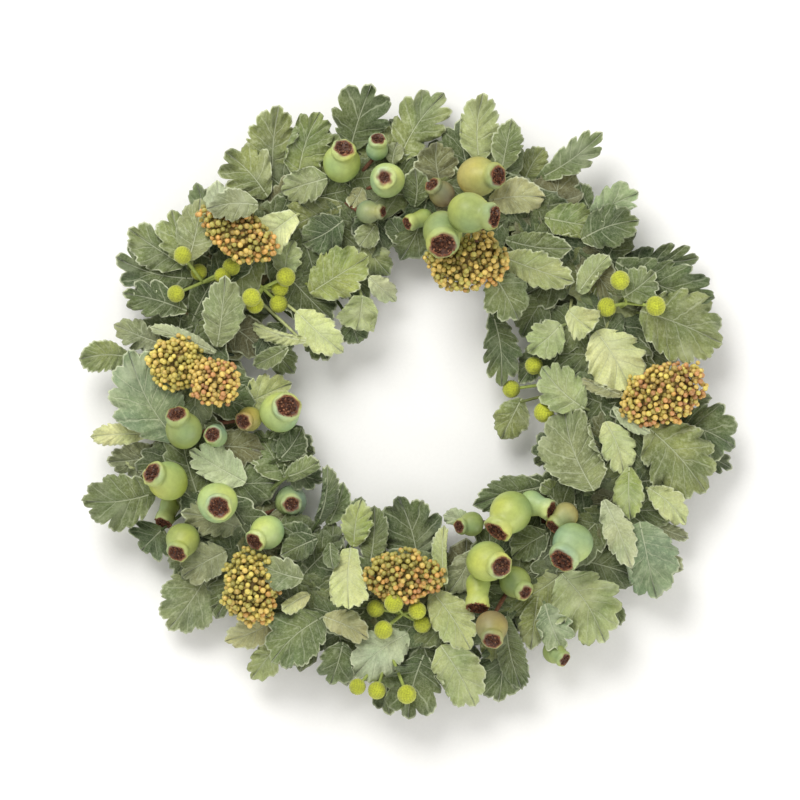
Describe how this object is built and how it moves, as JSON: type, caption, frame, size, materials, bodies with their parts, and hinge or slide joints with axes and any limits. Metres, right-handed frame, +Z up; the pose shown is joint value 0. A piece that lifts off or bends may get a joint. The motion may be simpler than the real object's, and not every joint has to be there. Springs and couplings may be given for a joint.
{
  "type": "dusty miller wreath",
  "caption": "Round wall wreath of preserved grey-green foliage with seed pods, berry heads and button flowers, held on a flat-backed wire ring with a hanging eye.",
  "frame": {"origin": "the point where the nail bears, at the top of the inside of the hanging eye", "axes": "+Z up as it hangs, +Y into the wall, the front faces -Y, +X to the viewer's right"},
  "size_m": [0.5089, 0.1203, 0.4927],
  "materials": {
    "foliage": "matt felted leaf surface, grey-green with paler rims",
    "pods": "satin green to yellow seed pods with dark red-brown mouths",
    "berries": "small gold, orange and pink berries, satin",
    "buttons": "chartreuse felted florets, matt",
    "wire": "dark green lacquer, half gloss",
    "eye": "bright drawn wire"
  },
  "bodies": {
    "root": {"wire_frame": "wire", "hanging_eye": "eye", "pod_spray_1": "pods", "pod_spray_2": "pods", "pod_spray_3": "pods", "pod_spray_4": "pods", "pod_spray_5": "pods", "pod_spray_6": "pods", "pod_spray_7": "pods", "berry_head_1": "berries", "berry_head_2": "berries", "berry_head_3": "berries", "berry_head_4": "berries", "berry_head_5": "berries", "berry_head_6": "berries", "berry_head_7": "berries", "button_spray_1": "buttons", "button_spray_2": "buttons", "button_spray_3": "buttons", "button_spray_4": "buttons", "button_spray_5": "buttons", "button_spray_6": "buttons", "bunch_01": "foliage", "bunch_02": "foliage", "bunch_03": "foliage", "bunch_04": "foliage", "bunch_05": "foliage", "bunch_06": "foliage", "bunch_07": "foliage", "bunch_08": "foliage", "bunch_09": "foliage", "bunch_10": "foliage", "bunch_11": "foliage", "bunch_12": "foliage"}
  },
  "joints": []
}
